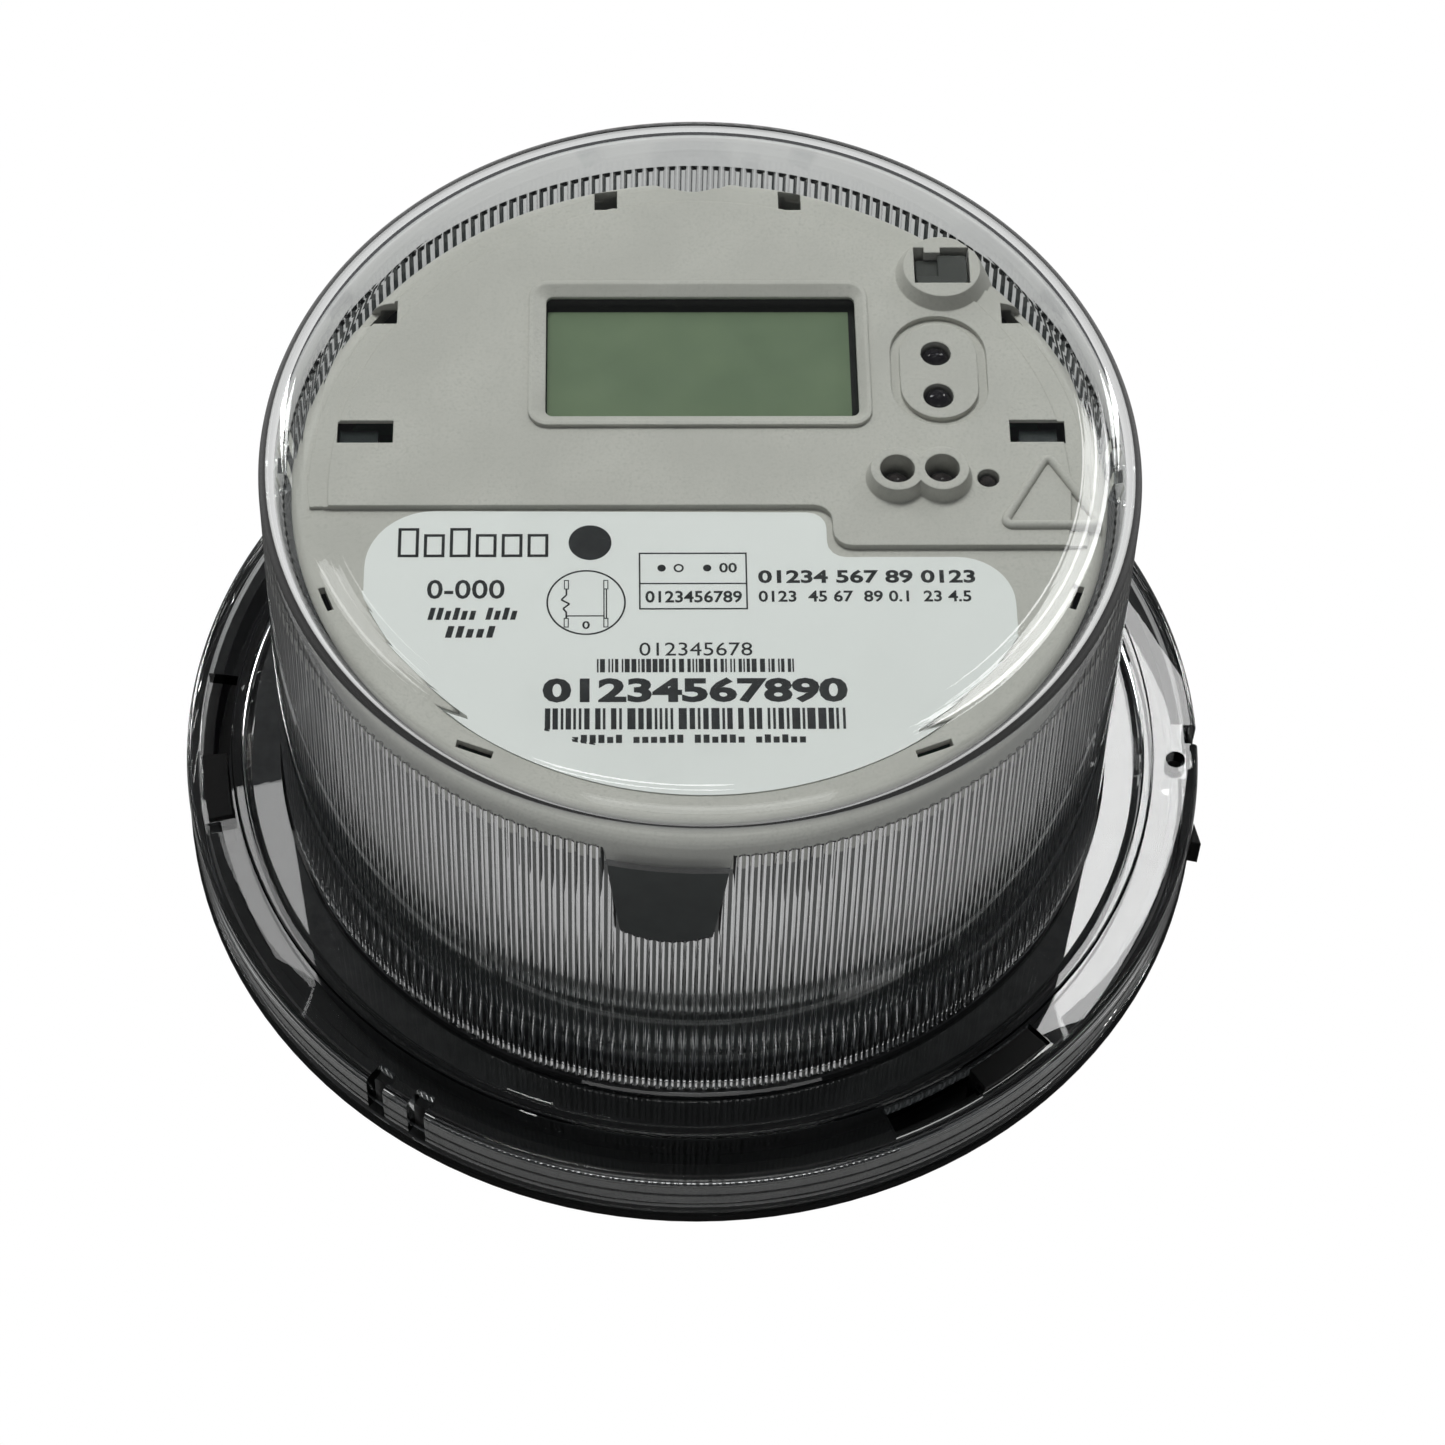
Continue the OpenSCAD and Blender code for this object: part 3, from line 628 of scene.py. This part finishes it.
def make_cover():
    cover = cover_shell()
    cut_cover(cover)
    join_lugs(cover)
    mesh = cover.data
    mesh.shade_smooth()
    mesh.set_sharp_from_angle(angle=math.radians(11))
    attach(cover, "cover")
    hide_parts("clear_cover", "cover_flange")


# ---- the triangle on the face ----

TRIANGLE_X, TRIANGLE_Y = 56.0, -3.9
TRIANGLE_R, TRIANGLE_CORNER = 7.4, 0.95


def make_triangle():
    """A plain raised triangle: a rounded ridge along its outline."""
    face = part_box("faceplate")[1].z / MM - BOSS_RISE
    path = []
    for corner in (90, 210, 330):
        direction = math.radians(corner)
        centre = Vector((TRIANGLE_X, TRIANGLE_Y))
        centre += TRIANGLE_R * Vector((math.cos(direction), math.sin(direction)))
        for i in range(9):
            angle = math.radians(corner - 60 + 15 * i)
            path.append(centre + TRIANGLE_CORNER * Vector((math.cos(angle), math.sin(angle))))
    ridge = [(-0.76, -2.0), (-0.72, 0.3), (-0.6, 0.58), (-0.32, 0.8), (0, 0.88), (0.32, 0.8),
             (0.6, 0.58), (0.72, 0.3), (0.76, -2.0)]
    vertices, faces = [], []
    count, size = len(path), len(ridge)
    for i, point in enumerate(path):
        along = path[(i + 1) % count] - path[i - 1]
        side = Vector((along.y, -along.x)).normalized()
        for offset, height in ridge:
            spot = point + side * offset
            vertices.append(Vector((spot.x, spot.y, face + height)) * MM)
    for i in range(count):
        near, far = i * size, (i + 1) % count * size
        for j in range(size):
            k = (j + 1) % size
            faces.append((near + j, far + j, far + k, near + k))
    piece = new_piece("face_triangle", vertices, faces)
    piece.data.shade_smooth()
    piece.data.set_sharp_from_angle(angle=math.radians(50))
    piece.data.materials.append(looks["faceplate"].material)
    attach(piece, "meter")


# ---- the nameplate's print ----

PRINT_T = 0.03


class Print:
    """Flat ink shapes on the nameplate, gathered into one mesh. Lengths in millimetres."""

    def __init__(self, height):
        self.z = height
        self.vertices = []
        self.faces = []

    def prism(self, outline):
        """A thin solid over a closed outline."""
        base, size = len(self.vertices), len(outline)
        for z in (self.z, self.z + PRINT_T):
            self.vertices += [Vector((x, y, z)) * MM for x, y in outline]
        for i in range(size):
            j = (i + 1) % size
            self.faces.append((base + i, base + j, base + size + j, base + size + i))
        self.faces.append(tuple(base + i for i in reversed(range(size))))
        self.faces.append(tuple(base + size + i for i in range(size)))

    def bar(self, x0, x1, y0, y1, lean=0.0):
        self.prism([(x0, y0), (x1, y0), (x1 + lean, y1), (x0 + lean, y1)])

    def line(self, start, end, width):
        a, b = Vector(start), Vector(end)
        side = (b - a).orthogonal().normalized() * width / 2
        self.prism([tuple(a + side), tuple(a - side), tuple(b - side), tuple(b + side)])

    def frame(self, x0, x1, y0, y1, width):
        self.bar(x0, x1, y0, y0 + width)
        self.bar(x0, x1, y1 - width, y1)
        self.bar(x0, x0 + width, y0 + width, y1 - width)
        self.bar(x1 - width, x1, y0 + width, y1 - width)

    def disc(self, x, y, radius, steps=32):
        self.prism([(x + radius * math.cos(math.tau * i / steps),
                     y + radius * math.sin(math.tau * i / steps)) for i in range(steps)])

    def ring(self, x, y, radius, width, steps=64):
        base = len(self.vertices)
        for i in range(steps):
            c, s = math.cos(math.tau * i / steps), math.sin(math.tau * i / steps)
            for r in (radius - width / 2, radius + width / 2):
                for z in (self.z, self.z + PRINT_T):
                    self.vertices.append(Vector((x + r * c, y + r * s, z)) * MM)
        for i in range(steps):
            a, b = base + 4 * i, base + 4 * ((i + 1) % steps)
            for j, k in ((0, 1), (1, 3), (3, 2), (2, 0)):
                self.faces.append((a + j, a + k, b + k, b + j))

    def words(self, rng, x0, x1, y0, height, letters, lean=0.0, weight=0.72):
        """Greeked words: letter-wide blocks with a few tall ones and gaps between words."""
        pitch = (x1 - x0) / letters
        for i in range(letters):
            if letters > 8 and i % 7 == 6:
                continue
            tall = 1.0 if rng.random() < 0.35 else 0.74
            start = x0 + i * pitch
            self.bar(start, start + pitch * weight, y0, y0 + height * tall, lean * tall)

    def code(self, rng, x0, x1, y0, y1, unit):
        """A made-up row of bars that stands for a machine-read code."""
        x = x0
        while x < x1 - 2 * unit:
            width = unit * rng.choice((1, 1, 2, 2, 3))
            self.bar(x, min(x + width, x1), y0, y1)
            x += width + unit * rng.choice((0.8, 1, 1, 2))
        self.bar(x1 - unit, x1, y0, y1)

    def digits(self, text, x0, x1, y0, height, bold=0.0):
        """Plain numerals from the built-in font, fitted to a width and a height."""
        curve = bpy.data.curves.new("numerals", "FONT")
        curve.body = text
        curve.extrude = PRINT_T / 2
        curve.offset = bold
        curve.resolution_u = 3
        temporary = bpy.data.objects.new("numerals", curve)
        bpy.context.scene.collection.objects.link(temporary)
        bpy.context.view_layer.update()
        graph = bpy.context.evaluated_depsgraph_get()
        mesh = bpy.data.meshes.new_from_object(temporary.evaluated_get(graph))
        points = [v.co.copy() for v in mesh.vertices]
        low = Vector([min(p[i] for p in points) for i in range(3)])
        high = Vector([max(p[i] for p in points) for i in range(3)])
        base = len(self.vertices)
        for p in points:
            x = x0 + (x1 - x0) * (p.x - low.x) / (high.x - low.x)
            y = y0 + height * (p.y - low.y) / (high.y - low.y)
            z = self.z + PRINT_T * (p.z - low.z) / (high.z - low.z)
            self.vertices.append(Vector((x, y, z)) * MM)
        self.faces += [tuple(base + i for i in face.vertices) for face in mesh.polygons]
        bpy.data.objects.remove(temporary)

    def finish(self, name, look):
        piece = new_piece(name, self.vertices, self.faces)
        piece.data.materials.append(look.material)
        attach(piece, "meter")
        return piece


def wiring_diagram(ink):
    """A plain two-wire connection diagram in a circle."""
    x, y = -18.2, -22.9
    ink.ring(x, y, 6.1, 0.28)
    for sx in (-1, 1):
        for sy in (3.4, -3.9):
            ink.frame(x + sx * 3.1 - 0.4, x + sx * 3.1 + 0.4, y + sy - 0.9, y + sy + 0.9, 0.16)
    zigzag = [(-3.1, 2.5), (-3.1, 1.4), (-3.9, 0.5), (-2.6, -0.3), (-3.6, -1.2), (-3.1, -1.9),
              (-3.1, -3.0)]
    for a, b in zip(zigzag, zigzag[1:]):
        ink.line((x + a[0], y + a[1]), (x + b[0], y + b[1]), 0.28)
    for offset, low in ((2.8, -3.0), (3.2, -3.0)):
        ink.line((x + offset, y + 2.5), (x + offset, y + low), 0.2)
    ink.line((x - 3.1, y - 2.6), (x + 2.8, y - 2.6), 0.2)
    ink.digits("0", x - 0.6, x + 0.6, y - 5.1, 1.5, 0.02)


def print_nameplate():
    rng = random.Random(7)
    ink = Print(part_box("nameplate")[1].z / MM)
    black = Material("black_ink", linear(30, 32, 33), 0.42)
    black.mottle(900.0, 0.8, 1.3)
    black.rough_noise(600.0, 0.36, 0.52)
    # plain maker's block: a row of outlined blocks and a disc
    for i in range(6):
        x = -48 + i * 4.1
        ink.frame(x, x + 3.3, -14.1, -9.6 + (1.2 if i in (0, 2) else 0), 0.5)
    ink.disc(-17.6, -11.3, 3.4, 48)
    ink.digits("0-000", -43.2, -31.0, -22.2, 3.7, 0.012)
    ink.words(rng, -43.0, -28.8, -26.2, 2.3, 11, 0.5, 0.62)
    ink.words(rng, -40.2, -32.2, -29.6, 2.2, 5, 0.5, 0.62)
    wiring_diagram(ink)
    ink.frame(-9.9, 7.2, -24.3, -13.3, 0.26)
    ink.line((-9.8, -19.3), (7.1, -19.3), 0.24)
    ink.disc(-6.3, -16.3, 0.66)
    ink.ring(-3.6, -16.3, 0.66, 0.3, 32)
    ink.disc(0.9, -16.3, 0.66)
    ink.digits("00", 2.8, 5.6, -17.2, 1.9, 0.02)
    ink.digits("0123456789", -8.9, 6.3, -23.0, 2.3, 0.02)
    ink.digits("01234 567 89 0123", 8.9, 43.2, -19.3, 2.6, 0.03)
    ink.digits("0123  45 67  89 0.1  23 4.5", 8.9, 42.4, -22.9, 2.2, 0.02)
    ink.digits("012345678", -9.9, 7.7, -33.1, 2.5)
    ink.code(rng, -16.5, 14.1, -36.2, -33.7, 0.26)
    ink.digits("01234567890", -24.9, 22.3, -41.9, 4.7, 0.04)
    ink.code(rng, -24.5, 21.8, -46.8, -42.9, 0.42)
    ink.words(rng, -20.3, 17.3, -49.3, 1.5, 28, 0.0, 0.7)
    ink.finish("nameplate_print", black)


# ---- floor, lights, camera ----

# how bright the floor is near the meter and far from it: mirrored, and through clear plastic
FLOOR_MIRRORED = (0.05, 0.5)
FLOOR_THROUGH = (0.48, 0.78)


def make_floor():
    """A plain white floor, shadowless to the camera. Reflections see it shaded by the meter."""
    bpy.ops.mesh.primitive_plane_add(size=12, location=(0, 0, cad_low.z - 0.5 * MM))
    floor = bpy.context.object
    floor.name = "floor"
    material = bpy.data.materials.new("white_sweep")
    material.use_nodes = True
    tree = material.node_tree
    tree.nodes.clear()
    place = tree.nodes.new("ShaderNodeTexCoord").outputs["Object"]
    away = tree.nodes.new("ShaderNodeVectorMath")
    away.operation = "LENGTH"
    tree.links.new(place, away.inputs[0])
    rays = tree.nodes.new("ShaderNodeLightPath")
    strength = None
    for ray, near, far in ((None, *FLOOR_MIRRORED), ("Is Transmission Ray", *FLOOR_THROUGH),
                           ("Is Camera Ray", 1.0, 1.0)):
        shade = tree.nodes.new("ShaderNodeMapRange")
        shade.interpolation_type = "SMOOTHSTEP"
        for key, number in (("From Min", 0.095), ("From Max", 0.28),
                            ("To Min", near), ("To Max", far)):
            shade.inputs[key].default_value = number
        tree.links.new(away.outputs["Value"], shade.inputs["Value"])
        if strength is None:
            strength = shade.outputs["Result"]
            continue
        seen = tree.nodes.new("ShaderNodeMix")
        tree.links.new(rays.outputs[ray], seen.inputs["Factor"])
        tree.links.new(strength, seen.inputs["A"])
        tree.links.new(shade.outputs["Result"], seen.inputs["B"])
        strength = seen.outputs["Result"]
    glow = tree.nodes.new("ShaderNodeEmission")
    tree.links.new(strength, glow.inputs["Strength"])
    output = tree.nodes.new("ShaderNodeOutputMaterial")
    tree.links.new(glow.outputs["Emission"], output.inputs["Surface"])
    floor.data.materials.append(material)


def softbox(name, azimuth, elevation, distance, width, height, radiance, mirrored=True):
    """A flat lamp that faces the meter. Azimuth is from +Y towards +X, in degrees."""
    az, el = math.radians(azimuth), math.radians(elevation)
    way = Vector((math.sin(az) * math.cos(el), math.cos(az) * math.cos(el), math.sin(el)))
    data = bpy.data.lights.new(name, "AREA")
    data.shape = "RECTANGLE"
    data.size = width
    data.size_y = height
    data.energy = radiance * math.pi * width * height
    lamp = bpy.data.objects.new(name, data)
    lamp.location = way * distance + Vector((0, 0, 0.05))
    lamp.rotation_euler = (-way).to_track_quat("-Z", "Y").to_euler()
    lamp.visible_glossy = mirrored
    lamp.visible_transmission = mirrored
    bpy.context.scene.collection.objects.link(lamp)


def make_lights():
    world = bpy.data.worlds.new("studio")
    world.use_nodes = True
    world.node_tree.nodes["Background"].inputs["Color"].default_value = (0.05, 0.052, 0.055, 1)
    bpy.context.scene.world = world
    softbox("overhead", -14, 64, 1.4, 0.55, 0.4, 21.0, mirrored=False)
    softbox("overhead_strip", -25, 80, 1.4, 0.36, 0.07, 9.0)
    softbox("front_fill", 178, 30, 1.5, 1.3, 0.5, 1.2)
    softbox("left_strip", -44, 30, 1.3, 0.12, 0.42, 15.0)
    softbox("right_strip", 44, 30, 1.3, 0.12, 0.42, 15.0)
    softbox("right_back", 21.8, 56.5, 1.475, 0.15, 0.3, 7.0)
    softbox("left_back", -16.4, 58.3, 1.5, 0.1, 0.12, 2.6)


def make_camera():
    """The camera at the object's usual three-quarter view from above."""
    elevation, azimuth, roll = (math.radians(v) for v in (54.98, -2.1, 1.6))
    distance, lens = 0.672, 99.45
    back = Vector((math.sin(azimuth) * math.cos(elevation),
                   -math.cos(azimuth) * math.cos(elevation), math.sin(elevation)))
    data = bpy.data.cameras.new("camera")
    data.sensor_width = 36
    data.lens = lens
    data.shift_x = 0.0183
    data.shift_y = -0.0664
    data.clip_start, data.clip_end = 0.05, 20
    camera = bpy.data.objects.new("camera", data)
    bpy.context.scene.collection.objects.link(camera)
    camera.location = Vector((0, 0, 0.045)) + back * distance
    look = (-back).to_track_quat("-Z", "Y")
    look.rotate(Quaternion(back, roll))
    camera.rotation_mode = "QUATERNION"
    camera.rotation_quaternion = look
    bpy.context.scene.camera = camera


def set_scene():
    scene = bpy.context.scene
    scene.view_settings.view_transform = "Standard"
    scene.cycles.use_denoising = True
    scene.cycles.max_bounces = 24
    scene.cycles.transmission_bounces = 20
    scene.cycles.glossy_bounces = 8
    scene.cycles.transparent_max_bounces = 24
    scene.cycles.caustics_refractive = True


set_scene()
make_camera()
make_floor()
make_lights()
looks = paint_nodes()
make_cover()
make_triangle()
print_nameplate()
